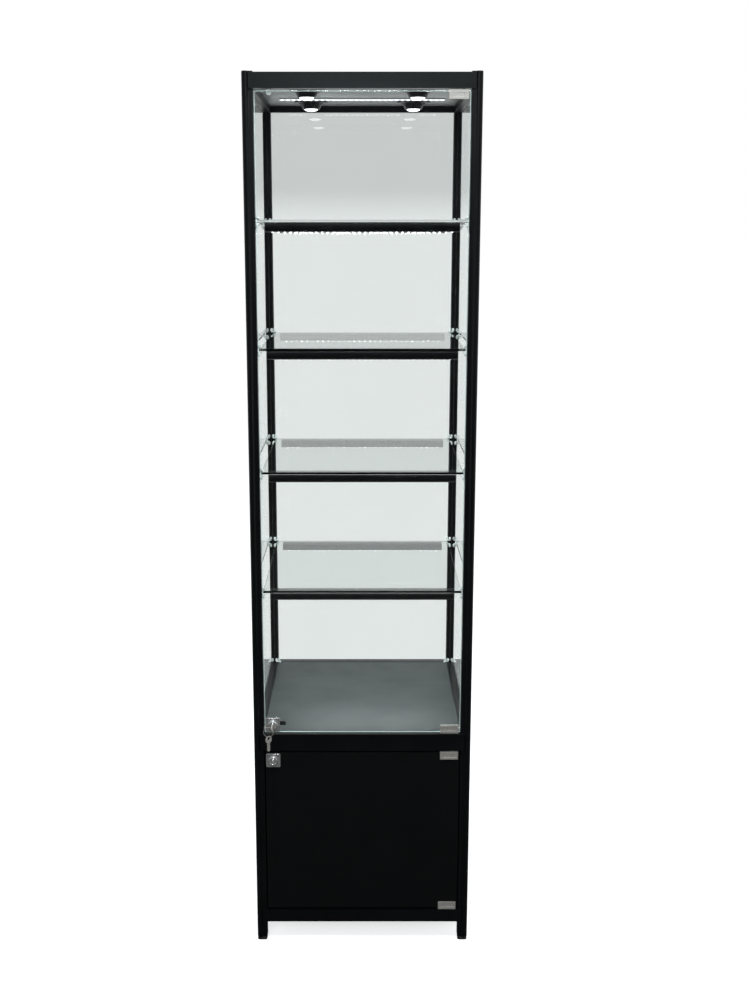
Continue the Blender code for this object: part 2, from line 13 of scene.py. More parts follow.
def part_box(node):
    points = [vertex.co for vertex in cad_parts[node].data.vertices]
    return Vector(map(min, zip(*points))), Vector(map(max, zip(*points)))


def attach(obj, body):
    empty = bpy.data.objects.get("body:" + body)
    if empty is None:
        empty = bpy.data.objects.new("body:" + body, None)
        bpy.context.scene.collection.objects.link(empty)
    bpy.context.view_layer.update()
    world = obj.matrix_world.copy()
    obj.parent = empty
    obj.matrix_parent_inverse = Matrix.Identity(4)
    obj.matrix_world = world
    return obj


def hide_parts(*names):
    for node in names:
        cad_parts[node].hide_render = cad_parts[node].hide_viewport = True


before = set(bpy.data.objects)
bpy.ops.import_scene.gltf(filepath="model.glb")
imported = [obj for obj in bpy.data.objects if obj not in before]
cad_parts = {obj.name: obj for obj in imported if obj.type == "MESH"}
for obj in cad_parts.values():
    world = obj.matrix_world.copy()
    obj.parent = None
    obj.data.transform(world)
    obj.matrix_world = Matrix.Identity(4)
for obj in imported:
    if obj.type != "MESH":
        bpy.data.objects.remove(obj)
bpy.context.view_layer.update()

# Places that the frame gives
MM = 0.001
CORNERS = ("front_left", "front_right", "back_right", "back_left")
SIDES = ("front", "right", "back", "left")
POST_LOW, POST_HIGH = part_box("post_front_left")
BACK_POST_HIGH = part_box("post_back_right")[1]
FRONT = POST_LOW.y
BACK = BACK_POST_HIGH.y
HALF = -POST_LOW.x
CENTRE_Y = (FRONT + BACK) / 2
TOP = POST_HIGH.z
SHELVES = (1, 2, 3, 4)

# The post's section, as the CAD has it: nose, bevelled step, flanges and pane grooves.
POST = 23.5 * MM
NOSE_RADIUS = 8.5 * MM
NOSE_FLAT = 10.5 * MM
FLANGE_STEP = 3.5 * MM
GROOVE = (10.0 * MM, 14.6 * MM, 6.0 * MM)
CAP_THICKNESS = 1.6 * MM
INSIDE = HALF - POST

FLOOR_REACH = 400.0
FLOOR_GLOW = 0.62
FLOOR_DIM = 0.05
ROOM_LIGHT = 0.45
VEIL_COLOUR = (0.97, 1.0, 0.985)
LOW_VEIL = 0.96
HIGH_VEIL = 0.73

EYE_DISTANCE = 2.54
EYE_HEIGHT = 1.640
EYE_TILT = 11.47
LENS = 42.43
LENS_SHIFT = (0.0117, -0.0217)

# Given one by one. A real cabinet's bars would all be equally strong.
BAR_POWER = 0.35
LOWEST_FRONT_POWER = 1.0

LED_COUNT = 30
CEILING_LED_COUNT = 29
LED_PITCH = 13.3 * MM
# Given one by one. A real strip's lenses would all be alike.
UPPER_LED_REACH = 2.6 * MM
LOWER_LED_REACH = 1.4 * MM


# Mesh helpers
def make_mesh(shape, name):
    """Turns a bmesh into a mesh, and frees it."""
    mesh = bpy.data.meshes.new(name)
    shape.to_mesh(mesh)
    shape.free()
    return mesh


def add_object(name, data):
    made = bpy.data.objects.new(name, data)
    bpy.context.scene.collection.objects.link(made)
    return made


def place(shape, name, material, body, smooth=40.0):
    """Turns a bmesh into a piece that rides on a body."""
    bmesh.ops.recalc_face_normals(shape, faces=shape.faces)
    mesh = make_mesh(shape, name)
    mesh.shade_smooth()
    mesh.set_sharp_from_angle(angle=radians(smooth))
    piece = add_object(name, mesh)
    mesh.materials.append(material)
    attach(piece, body)
    return piece


OUTLINE_AXES = {"X": (1, 2, 0), "Y": (0, 2, 1), "Z": (0, 1, 2)}


def add_prism(shape, outline, axis, low, high):
    """Adds an outline of two-number points, extruded along a world axis."""
    first, second, along = OUTLINE_AXES[axis]
    ends = []
    for level in (low, high):
        ring = []
        for point in outline:
            spot = [0.0, 0.0, 0.0]
            spot[first], spot[second], spot[along] = point[0], point[1], level
            ring.append(shape.verts.new(spot))
        ends.append(ring)
    shape.faces.new(ends[0])
    shape.faces.new(list(reversed(ends[1])))
    count = len(outline)
    for index in range(count):
        beside = (index + 1) % count
        shape.faces.new((ends[0][index], ends[0][beside], ends[1][beside], ends[1][index]))


def add_block(shape, low, high):
    outline = [(low[0], low[1]), (high[0], low[1]), (high[0], high[1]), (low[0], high[1])]
    add_prism(shape, outline, "Z", low[2], high[2])


def add_turned(shape, profile, centre, axis="Z", segments=64):
    """Adds a profile of (radius, height) turned about an axis through centre. Radius 0 closes it."""
    turn_to_axis = {
        "Z": Matrix.Identity(3),
        "Y": Matrix.Rotation(pi / 2, 3, "X"),
    }[axis]
    rings = []
    for radius, height in profile:
        if radius == 0:
            tip = shape.verts.new(Vector(centre) + turn_to_axis @ Vector((0, 0, height)))
            rings.append([tip] * segments)
            continue
        ring = []
        for step in range(segments):
            turn = 2 * pi * step / segments
            spot = Vector((radius * cos(turn), radius * sin(turn), height))
            ring.append(shape.verts.new(Vector(centre) + turn_to_axis @ spot))
        rings.append(ring)
    closed = profile[0][0] > 0 and profile[-1][0] > 0
    pairs = len(rings) if closed else len(rings) - 1
    for index in range(pairs):
        upper, lower = rings[index], rings[(index + 1) % len(rings)]
        for step in range(segments):
            beside = (step + 1) % segments
            corners = [upper[step], upper[beside], lower[beside], lower[step]]
            shape.faces.new(list(dict.fromkeys(corners)))


def add_ball(shape, centre, radii, segments):
    """Adds an ellipsoid."""
    made = bmesh.ops.create_uvsphere(shape, u_segments=segments, v_segments=segments // 2, radius=1.0)
    bmesh.ops.scale(shape, verts=made["verts"], vec=radii)
    bmesh.ops.translate(shape, verts=made["verts"], vec=centre)


def rounded_box(centre, sides, radius, steps=6):
    """Outline of a rectangle with round corners."""
    points = []
    for quarter, (sign_a, sign_b) in enumerate(((1, 1), (-1, 1), (-1, -1), (1, -1))):
        for step in range(steps + 1):
            turn = (quarter + step / steps) * pi / 2
            across = centre[0] + sign_a * (sides[0] / 2 - radius) + radius * cos(turn)
            upward = centre[1] + sign_b * (sides[1] / 2 - radius) + radius * sin(turn)
            points.append((across, upward))
    return points


def ring_of(centre, radius, segments=48):
    turns = [2 * pi * step / segments for step in range(segments)]
    return [(centre[0] + radius * cos(turn), centre[1] + radius * sin(turn)) for turn in turns]


def soften(piece, width, segments=2, angle=35.0):
    """Rounds a piece's sharp edges."""
    bevel = piece.modifiers.new("edges", "BEVEL")
    bevel.width = width
    bevel.segments = segments
    bevel.limit_method = "ANGLE"
    bevel.angle_limit = radians(angle)
    bevel.harden_normals = False
    bevel.use_clamp_overlap = True


def side_turn(quarter):
    """The turn from the front to another side, about the cabinet's middle."""
    middle = Matrix.Translation((0, CENTRE_Y, 0))
    return middle @ Matrix.Rotation(quarter * pi / 2, 4, "Z") @ middle.inverted()


def move_to_side(shape, quarter):
    bmesh.ops.transform(shape, matrix=side_turn(quarter), verts=shape.verts)


# Materials
def set_inputs(node, values):
    for name, value in values.items():
        node.inputs[name].default_value = value


class Material:
    """A Principled material with helpers for its procedural parts."""

    def __init__(self, name, colour, roughness, metallic=0.0):
        self.data = bpy.data.materials.new(name)
        self.data.use_nodes = True
        self.nodes = self.data.node_tree.nodes
        self.links = self.data.node_tree.links
        self.shader = self.nodes["Principled BSDF"]
        set_inputs(self.shader, {"Base Color": (*colour, 1.0), "Roughness": roughness, "Metallic": metallic})
        self.data.diffuse_color = (*colour, 1.0)

    def noise(self, scale, stretch=(1.0, 1.0, 1.0), detail=3.0, roughness=0.5):
        """Noise in the row frame, with scale in features per metre."""
        coordinates = self.nodes.new("ShaderNodeTexCoord")
        mapping = self.nodes.new("ShaderNodeMapping")
        mapping.inputs["Scale"].default_value = stretch
        noise = self.nodes.new("ShaderNodeTexNoise")
        set_inputs(noise, {"Scale": scale, "Detail": detail, "Roughness": roughness})
        self.links.new(coordinates.outputs["Object"], mapping.inputs["Vector"])
        self.links.new(mapping.outputs["Vector"], noise.inputs["Vector"])
        return noise.outputs["Fac"]

    def spread(self, source, low, high, start=0.3, stop=0.7):
        """Maps a noise's middle range to a range of values."""
        reach = self.nodes.new("ShaderNodeMapRange")
        set_inputs(reach, {"From Min": start, "From Max": stop, "To Min": low, "To Max": high})
        self.links.new(source, reach.inputs["Value"])
        return reach.outputs["Result"]

    def colour(self, source, dark, light, start=0.3, stop=0.7):
        ramp = self.nodes.new("ShaderNodeValToRGB")
        ramp.color_ramp.elements[0].position = start
        ramp.color_ramp.elements[0].color = (*dark, 1.0)
        ramp.color_ramp.elements[1].position = stop
        ramp.color_ramp.elements[1].color = (*light, 1.0)
        self.links.new(source, ramp.inputs["Fac"])
        self.links.new(ramp.outputs["Color"], self.shader.inputs["Base Color"])

    def rough(self, source, low, high):
        self.links.new(self.spread(source, low, high), self.shader.inputs["Roughness"])

    def bump(self, source, depth, strength=1.0):
        bump = self.nodes.new("ShaderNodeBump")
        set_inputs(bump, {"Distance": depth, "Strength": strength})
        self.links.new(source, bump.inputs["Height"])
        self.links.new(bump.outputs["Normal"], self.shader.inputs["Normal"])


def make_anodised(name, stretch):
    """Black anodised aluminium, with faint draw lines along the extrusion and a fine matt grain."""
    made = Material(name, (0.005, 0.0055, 0.006), 0.36, 0.0)
    made.shader.inputs["Specular IOR Level"].default_value = 0.28
    lines = made.noise(60.0, stretch, 2.0)
    cloud = made.noise(9.0, (1, 1, 1), 3.0)
    made.colour(cloud, (0.0018, 0.0020, 0.0023), (0.0036, 0.0040, 0.0046))
    made.rough(lines, 0.30, 0.42)
    grain = made.noise(2600.0, (1, 1, 1), 1.0)
    made.bump(grain, 0.00002, 0.6)
    return made.data


def make_board(name, dark, light, rough, grain, depth, shine=0.25):
    """Laminated board: a fine pearled texture pressed into a matt skin."""
    made = Material(name, light, rough[0])
    made.shader.inputs["Specular IOR Level"].default_value = shine
    fine = made.noise(grain, (1, 1, 1), 2.0, 0.6)
    made.colour(fine, dark, light, 0.35, 0.68)
    wide = made.noise(14.0, (1, 1, 1), 3.0)
    made.rough(wide, *rough)
    made.bump(fine, depth, 0.7)
    return made.data


def make_glass(name, tint, lamp_tint):
    """Clear float glass. Light from lamps passes it straight, tinted."""
    made = Material(name, tint, 0.0)
    set_inputs(made.shader, {"Transmission Weight": 1.0, "IOR": 1.50})
    smear = made.noise(3.5, (1.0, 1.0, 0.45), 4.0, 0.6)
    darker = tuple(part * 0.988 for part in tint)
    made.colour(smear, darker, tint, 0.35, 0.65)
    path = made.nodes.new("ShaderNodeLightPath")
    clear = made.nodes.new("ShaderNodeBsdfTransparent")
    clear.inputs["Color"].default_value = (*lamp_tint, 1.0)
    mix = made.nodes.new("ShaderNodeMixShader")
    made.links.new(path.outputs["Is Shadow Ray"], mix.inputs[0])
    made.links.new(made.shader.outputs["BSDF"], mix.inputs[1])
    made.links.new(clear.outputs["BSDF"], mix.inputs[2])
    made.links.new(mix.outputs["Shader"], made.nodes["Material Output"].inputs["Surface"])
    return made.data


def make_metal(name, colour, rough, stretch, grain, depth, bare=1.0):
    """Metal with a fine grain. bare is how metallic it is, less than 1 where that matches the photo."""
    made = Material(name, colour, rough[0], bare)
    lines = made.noise(grain, stretch, 2.0)
    made.rough(lines, *rough)
    darker = tuple(part * 0.86 for part in colour)
    made.colour(lines, darker, colour)
    made.bump(lines, depth, 0.5)
    return made.data


def make_plastic(name, colour, rough, grain=900.0, depth=0.00002):
    made = Material(name, colour, rough[0])
    fine = made.noise(grain, (1, 1, 1), 2.0)
    darker = tuple(part * 0.88 for part in colour)
    made.colour(fine, darker, colour)
    made.rough(fine, *rough)
    made.bump(fine, depth, 0.5)
    return made.data


def make_glow(name, colour, strength):
    """A lit lens: brightest in its cells, with a faint pattern."""
    made = Material(name, colour, 0.3)
    cells = made.noise(420.0, (1, 1, 1), 1.0)
    made.colour(cells, tuple(part * 0.93 for part in colour), colour)
    set_inputs(made.shader, {"Emission Color": (*colour, 1.0), "Emission Strength": strength})
    return made.data


ANODISED_UPRIGHT = make_anodised("anodised_upright", (1.0, 1.0, 0.02))
ANODISED_ACROSS = make_anodised("anodised_across", (0.02, 0.02, 1.0))
BOARD_BLACK = make_board(
    "board_black", (0.0022, 0.0024, 0.0025), (0.0042, 0.0044, 0.0046), (0.50, 0.60), 1500.0, 0.00004
)
DOOR_BLACK = make_board(
    "door_black", (0.0018, 0.0020, 0.0021), (0.0040, 0.0042, 0.0044), (0.46, 0.56), 1100.0, 0.00005
)
DECK_GREY = make_board(
    "deck_grey", (0.034, 0.039, 0.040), (0.058, 0.065, 0.066), (0.34, 0.46), 1200.0, 0.00006, 0.22
)
CEILING_GREY = make_board(
    "ceiling_grey", (0.24, 0.255, 0.255), (0.31, 0.325, 0.325), (0.32, 0.42), 1300.0, 0.00003, 0.5
)
CLEAR_GLASS = make_glass("clear_glass", (0.970, 0.983, 0.981), (0.88, 0.91, 0.90))
SHELF_GLASS = make_glass("shelf_glass", (0.950, 0.977, 0.970), (0.88, 0.92, 0.90))
CHROME = make_metal("chrome", (0.82, 0.82, 0.81), (0.08, 0.18), (1, 1, 1), 160.0, 0.00001, 0.85)
STEEL = make_metal("steel", (0.52, 0.50, 0.465), (0.24, 0.36), (1.0, 1.0, 0.04), 3000.0, 0.00003, 0.50)
CAM_STEEL = make_metal("cam_steel", (0.07, 0.07, 0.07), (0.35, 0.50), (1, 1, 1), 900.0, 0.00003)
SCREW_STEEL = make_metal("screw_steel", (0.30, 0.30, 0.30), (0.25, 0.40), (1, 1, 1), 1500.0, 0.00002)
RUBBER = make_plastic("rubber", (0.018, 0.018, 0.018), (0.70, 0.85), 700.0, 0.00006)
GASKET = make_plastic("gasket", (0.012, 0.012, 0.012), (0.55, 0.70), 600.0, 0.00003)
LAMP_BLACK = make_plastic("lamp_black", (0.010, 0.010, 0.011), (0.28, 0.40), 1200.0)
CAP_BLACK = make_plastic("cap_black", (0.012, 0.012, 0.013), (0.42, 0.55), 1200.0)
GROUND_GLASS = make_plastic("ground_glass", (0.62, 0.76, 0.74), (0.45, 0.60), 1500.0)
CLEAR_PLASTIC = make_plastic("clear_plastic", (0.86, 0.89, 0.89), (0.08, 0.16), 300.0)
STRIP_WHITE = make_plastic("strip_white", (0.62, 0.63, 0.64), (0.40, 0.55), 400.0)
DRIVER_WHITE = make_plastic("driver_white", (0.66, 0.66, 0.64), (0.40, 0.52), 900.0)
LED_GLOW = make_glow("led_glow", (0.90, 0.95, 1.0), 45.0)
FROSTED = make_glow("frosted_lens", (0.90, 0.96, 0.98), 0.8)
CELL_GLOW = make_glow("cell_glow", (0.93, 0.98, 1.0), 5.0)
LAMP_GLOW = make_glow("lamp_glow", (1.0, 1.0, 1.0), 3.2)


# CAD nodes that keep their shape
def dress(node, material, edge=0.0, segments=2):
    """Gives a CAD node its material and, with a width, rounds its edges."""
    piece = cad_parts[node]
    piece.data.materials.clear()
    piece.data.materials.append(material)
    if edge:
        weld = piece.modifiers.new("weld", "WELD")
        weld.merge_threshold = 0.00001
        soften(piece, edge, segments)


def dress_nodes():
    for level in ("top", "middle", "bottom"):
        for side in SIDES:
            dress(f"{level}_rail_{side}", ANODISED_ACROSS, 0.0005)
    for side in ("left", "right", "back"):
        dress(side + "_glass", CLEAR_GLASS, 0.0004)
        dress(side + "_panel", BOARD_BLACK, 0.0004)
    dress("glass_door", CLEAR_GLASS, 0.0006)
    dress("storage_door", DOOR_BLACK, 0.0008)
    dress("deck_board", DECK_GREY, 0.0006)
    dress("storage_floor", BOARD_BLACK, 0.0006)
    dress("ceiling_board", CEILING_GREY, 0.0006)
    for number in SHELVES:
        dress(f"shelf_{number}", SHELF_GLASS, 0.0007)


# Posts
def post_section(margin=0.0):
    """Section of the front left post, drawn in by margin at its outer faces."""
    low, high, depth = GROOVE
    bottom = POST - depth
    half = [
        (NOSE_FLAT, margin),
        (NOSE_FLAT + FLANGE_STEP, FLANGE_STEP + margin),
        (POST - margin, FLANGE_STEP + margin),
        (POST - margin, low),
        (bottom, low),
        (bottom, high),
        (POST - margin, high),
    ]
    steps = 14
    radius = NOSE_RADIUS - margin
    nose = []
    for step in range(steps + 1):
        turn = pi + step / steps * pi / 2
        nose.append((NOSE_RADIUS + radius * cos(turn), NOSE_RADIUS + radius * sin(turn)))
    mirrored = [(across, along) for along, across in reversed(half)]
    section = nose + half + [(POST - margin, POST - margin)] + mirrored
    return [(-HALF + across, FRONT + along) for across, along in section]


def make_posts():
    foot_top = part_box("foot_front_left")[1].z
    for quarter, corner in enumerate(CORNERS):
        shape = bmesh.new()
        add_prism(shape, post_section(), "Z", foot_top + 0.3 * MM, TOP - CAP_THICKNESS - 0.2 * MM)
        move_to_side(shape, quarter)
        post = place(shape, f"post_profile_{corner}", ANODISED_UPRIGHT, "frame")
        soften(post, 0.0003, 2)
        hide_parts("post_" + corner)
        shape = bmesh.new()
        add_prism(shape, post_section(0.2 * MM), "Z", TOP - CAP_THICKNESS, TOP)
        move_to_side(shape, quarter)
        cap = place(shape, f"post_cap_{corner}", CAP_BLACK, "frame")
        soften(cap, 0.0005, 3)


def make_feet():
    low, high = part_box("foot_front_left")
    centre = ((low.x + high.x) / 2, (low.y + high.y) / 2)
    side = high.x - low.x
    for quarter, corner in enumerate(CORNERS):
        shape = bmesh.new()
        add_prism(shape, rounded_box(centre, (side, side), 5 * MM), "Z", low.z, high.z - 2.2 * MM)
        neck = rounded_box(centre, (side - 2 * MM, side - 2 * MM), 4 * MM)
        add_prism(shape, neck, "Z", high.z - 2.4 * MM, high.z)
        move_to_side(shape, quarter)
        foot = place(shape, f"foot_pad_{corner}", RUBBER, "frame")
        soften(foot, 0.0006, 3)
        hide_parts("foot_" + corner)


def make_gaskets():
    """Thin black lips that hold each pane and panel in its grooves, outside and in."""
    lip = 1.1 * MM
    stand = 0.9 * MM
    levels = {
        "glass": (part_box("left_glass")[0].z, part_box("left_glass")[1].z),
        "panel": (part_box("left_panel")[0].z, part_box("left_panel")[1].z),
    }
    for level, span in levels.items():
        for quarter, side in enumerate(SIDES[1:], 1):
            shape = bmesh.new()
            for sign in (-1, 1):
                edge = sign * INSIDE
                for face in (GROOVE[0] + 0.2 * MM - stand + 0.1 * MM, GROOVE[0] + 4.4 * MM):
                    outline = [
                        (edge, FRONT + face),
                        (edge - sign * lip, FRONT + face + stand * 0.25),
                        (edge - sign * lip, FRONT + face + stand * 0.75),
                        (edge, FRONT + face + stand),
                    ]
                    add_prism(shape, outline, "Z", span[0] + 1 * MM, span[1] - 1 * MM)
            move_to_side(shape, quarter)
            place(shape, f"gasket_{side}_{level}", GASKET, "frame")


# Shelf clips
def add_clip_lobes(shape, height, sign):
    """Half of a clip, above (1) or below (-1) a level, at the front left post's inner corner."""
    corner = Vector((-INSIDE, FRONT + POST, height))
    balls = []
    for across, along in ((2.7, -4.0), (-4.0, 2.7)):
        balls.append((across, along, 6.4, 3.3, 4.9, 20))
        for rise in (1.9, 3.5):
            balls.append((across * 0.8, along * 0.8, rise, 2.2, 1.9, 16))
        balls.append((across * 0.55, along * 0.55, 2.0, 2.3, 1.9, 16))
    balls.append((5.2, 5.2, 2.7, 3.1, 2.5, 20))
    for outward in (1.2, 2.5, 3.8):
        balls.append((outward, outward, 2.3, 2.0, 2.0, 14))
    for across, along, rise, radius, half_height, segments in balls:
        centre = corner + Vector((across, along, sign * rise)) * MM
        add_ball(shape, centre, (radius * MM, radius * MM, half_height * MM), segments)


def make_shelf_clips():
    """Clear clips in the posts' corners: a ball and two lobes above and below each shelf's corner."""
    deck_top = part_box("deck_board")[1].z
    for quarter, corner in enumerate(CORNERS):
        for number in SHELVES:
            low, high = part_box(f"shelf_{number}")
            shape = bmesh.new()
            add_clip_lobes(shape, high.z + 0.2 * MM, 1)
            add_clip_lobes(shape, low.z - 0.2 * MM, -1)
            move_to_side(shape, quarter)
            place(shape, f"shelf_{number}_clip_{corner}", CLEAR_PLASTIC, "frame")
        shape = bmesh.new()
        add_clip_lobes(shape, deck_top + 0.2 * MM, 1)
        move_to_side(shape, quarter)
        place(shape, f"deck_clip_{corner}", CLEAR_PLASTIC, "frame")


# Light bars
def bar_section(edge, roof, sign, height, depth):
    """Section of a shelf's light bar, with the round nose and the LED face that slopes in."""
    section = [
        (3.2, 0.0),
        (1.6, 0.7),
        (0.5, 2.0),
        (0.0, 3.6),
        (0.3, 8.0),
        (1.5, 12.5),
        (4.0, 15.4),
        (8.0, 18.2),
        (12.0, height / MM),
        (depth / MM, height / MM - 3.5),
        (depth / MM, 0.0),
    ]
    return [(edge + sign * along * MM, roof - down * MM) for along, down in section]


def make_leds(name, middle, tilt, reach_down):
    """A strip with small lit packages. tilt turns its face from straight down about X."""
    ribbon = bmesh.new()
    reach = LED_PITCH * LED_COUNT / 2
    add_block(ribbon, (-reach, -4.0 * MM, -0.1 * MM), (reach, 4.0 * MM, 0.15 * MM))
    lit = bmesh.new()
    for index in range(LED_COUNT):
        across = (index - (LED_COUNT - 1) / 2) * LED_PITCH
        outline = rounded_box((across, 0), (5.0 * MM, 4.0 * MM), 0.8 * MM, 3)
        add_prism(ribbon, outline, "Z", -0.9 * MM, 0.0)
        dome = [(0, -reach_down), (1.1 * MM, -0.88 * reach_down), (1.8 * MM, -0.85 * MM), (0, -0.8 * MM)]
        add_turned(lit, dome, (across, 0, 0), "Z", 16)
    turn = Matrix.Translation(middle) @ Matrix.Rotation(tilt, 4, "X")
    for shape in (ribbon, lit):
        bmesh.ops.transform(shape, matrix=turn, verts=shape.verts)
    place(ribbon, name + "_strip", STRIP_WHITE, "frame")
    place(lit, name + "_leds", LED_GLOW, "frame")


def make_light_bars():
    for number in SHELVES:
        for where, sign in (("front", 1), ("rear", -1)):
            node = f"shelf_{number}_{where}_light_bar"
            low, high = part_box(node)
            edge = low.y if sign > 0 else high.y
            depth = high.y - low.y
            height = high.z - low.z
            shape = bmesh.new()
            cap = 1.6 * MM
            section = bar_section(edge, high.z, sign, height, depth)
            add_prism(shape, section, "X", low.x + cap, high.x - cap)
            bar = place(shape, f"{node}_profile", ANODISED_ACROSS, "frame", 50.0)
            soften(bar, 0.0003, 2, 50.0)
            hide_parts(node)
            shape = bmesh.new()
            add_prism(shape, section, "X", low.x, low.x + cap - 0.1 * MM)
            add_prism(shape, section, "X", high.x - cap + 0.1 * MM, high.x)
            ends = place(shape, f"{node}_ends", CAP_BLACK, "frame", 50.0)
            soften(ends, 0.0004, 2, 50.0)
            slope = 3.5 * MM
            span = depth - 12 * MM
            middle = (0, edge + sign * (12 * MM + span / 2), low.z + slope / 2 - 0.15 * MM)
            tilt = sign * (slope / span)
            reach_down = UPPER_LED_REACH if number < 3 else LOWER_LED_REACH
            make_leds(f"shelf_{number}_{where}", middle, tilt, reach_down)


def make_ceiling_light():
    """A slim aluminium channel across the ceiling, with a frosted lens over its lit cells."""
    low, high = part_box("ceiling_light_bar")
    middle = (low.y + high.y) / 2
    half = (high.y - low.y) / 2
    wall = 0.8 * MM
    lip = high.z - 2.2 * MM
    channel = [
        (middle - half, high.z),
        (middle - half, lip),
        (middle - half + wall, lip),
        (middle - half + wall, high.z - wall),
        (middle + half - wall, high.z - wall),
        (middle + half - wall, lip),
        (middle + half, lip),
        (middle + half, high.z),
    ]
    shape = bmesh.new()
    add_prism(shape, channel, "X", low.x, high.x)
    channel_piece = place(shape, "ceiling_light_channel", STRIP_WHITE, "frame")
    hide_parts("ceiling_light_bar")
    shape = bmesh.new()
    steps = 10
    lens = []
    for step in range(steps + 1):
        turn = pi * step / steps
        across = middle - (half - wall) * cos(turn)
        lens.append((across, lip - (lip - low.z - 0.8 * MM) * sin(turn)))
    add_prism(shape, lens, "X", low.x + 0.6 * MM, high.x - 0.6 * MM)
    place(shape, "ceiling_light_lens", FROSTED, "frame", 50.0)
    shape = bmesh.new()
    for index in range(CEILING_LED_COUNT):
        across = (index - (CEILING_LED_COUNT - 1) / 2) * LED_PITCH
        add_ball(shape, (across, middle, low.z + 1.0 * MM), (3.6 * MM, 2.0 * MM, 1.0 * MM), 16)
    place(shape, "ceiling_light_cells", CELL_GLOW, "frame")


# Lamps
LAMPS = ("front_left", "front_right", "rear_left", "rear_right")
RING_RADIUS = 39.5 * MM
RING_BORE = 28.5 * MM


def make_lamp_ring(lamp, centre, roof):
    """The flat black ring that trims a downlight's pocket, with its sleeve up into the ceiling."""
    top = roof + 9 * MM
    profile = [
        (RING_RADIUS, roof),
        (RING_RADIUS, roof - 2.2 * MM),
        (RING_RADIUS - 1.2 * MM, roof - 3.8 * MM),
        (RING_RADIUS - 3.6 * MM, roof - 4.9 * MM),
        (RING_BORE + 2.4 * MM, roof - 5.2 * MM),
        (RING_BORE + 0.6 * MM, roof - 4.6 * MM),
        (RING_BORE, roof - 3.0 * MM),
        (RING_BORE, top),
        (RING_BORE + 1.2 * MM, top),
        (RING_BORE + 1.2 * MM, roof),
    ]
    shape = bmesh.new()
    add_turned(shape, profile, centre, "Z", 96)
    place(shape, "lamp_ring_" + lamp, LAMP_BLACK, "frame")


def make_lamps():
    """Tilting downlights: a black dome and cone with a bulging lit lens, in a flat ring."""
    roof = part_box("ceiling_board")[0].z - 0.3 * MM
    for lamp in LAMPS:
        low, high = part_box("lamp_" + lamp)
        body = "lamp_head_" + lamp
        centre = ((low.x + high.x) / 2, (low.y + high.y) / 2, 0)
        make_lamp_ring(lamp, centre, roof)
        pivot = high.z - 10 * MM
        rim = low.z + 4.4 * MM
        profile = [
            (0, high.z),
            (19.6 * MM, high.z),
            (22.0 * MM, pivot + 8.0 * MM),
            (25.6 * MM, pivot + 1.5 * MM),
            (26.1 * MM, pivot - 0.5 * MM),
            (25.4 * MM, pivot - 4.0 * MM),
            (23.6 * MM, pivot - 8.0 * MM),
            (20.6 * MM, rim + 2.4 * MM),
            (19.3 * MM, rim + 0.5 * MM),
            (18.2 * MM, rim),
            (16.6 * MM, rim),
            (16.2 * MM, rim + 1.0 * MM),
            (0, rim + 1.0 * MM),
        ]
        shape = bmesh.new()
        add_turned(shape, profile, centre, "Z", 96)
        head = place(shape, "lamp_shell_" + lamp, LAMP_BLACK, body)
        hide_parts("lamp_" + lamp)
        lens = [(0, rim + 0.9 * MM), (15.9 * MM, rim + 0.9 * MM)]
        steps = 10
        for step in range(steps):
            turn = pi / 2 * step / steps
            lens.append((15.7 * MM * cos(turn), rim + 0.4 * MM - (rim - low.z + 0.4 * MM) * sin(turn)))
        lens.append((0, low.z))
        shape = bmesh.new()
        add_turned(shape, lens, centre, "Z", 64)
        place(shape, "lamp_lens_" + lamp, LAMP_GLOW, body)


# Door fittings
PIN_X = 210 * MM
CAM_REACH = 30 * MM
KEY_THICKNESS = 2.0 * MM
BLADE_HALF = 3.9 * MM


def add_screw(shape, centre, radius, height, sign):
    """A small pan-head screw, with its head toward the back (1) or the front (-1)."""
    profile = [
        (0, 0.0),
        (radius, 0.0),
        (radius, sign * -0.35 * height),
        (radius * 0.85, sign * -0.8 * height),
        (radius * 0.45, sign * -height),
        (0, sign * -height),
    ]
    add_turned(shape, profile, centre, "Y", 24)


